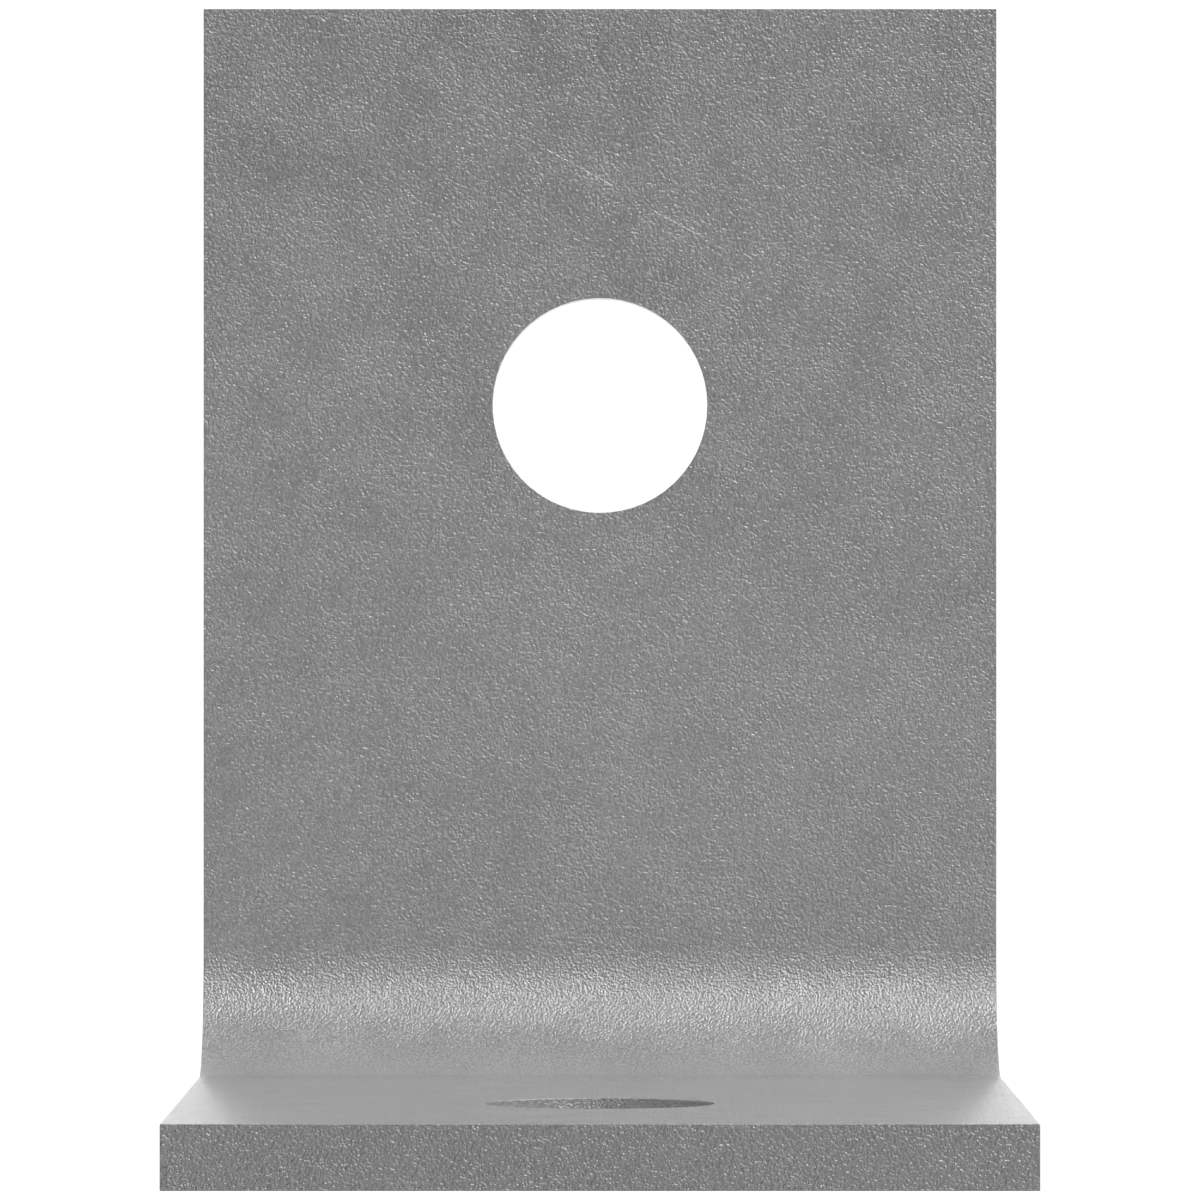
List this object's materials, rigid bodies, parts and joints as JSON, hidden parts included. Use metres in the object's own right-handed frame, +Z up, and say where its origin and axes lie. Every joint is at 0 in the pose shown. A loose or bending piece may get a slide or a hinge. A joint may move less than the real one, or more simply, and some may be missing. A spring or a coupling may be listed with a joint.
{
  "type": "angle bracket",
  "caption": "Heavy right-angle bracket of thick bent steel plate, with a round bolt hole in each leg, for bolting framing members together or to concrete.",
  "frame": {"origin": "centre of the base leg's bolt hole, on the underside of the base", "axes": "+Z up along the base's bolt, +Y from the base's free end towards the back of the upright leg, +X across the width"},
  "size_m": [0.0762, 0.1079, 0.108],
  "materials": {
    "grey_coated_steel": "satin"
  },
  "bodies": {
    "root": {"angle_bracket": "grey_coated_steel"}
  },
  "joints": []
}
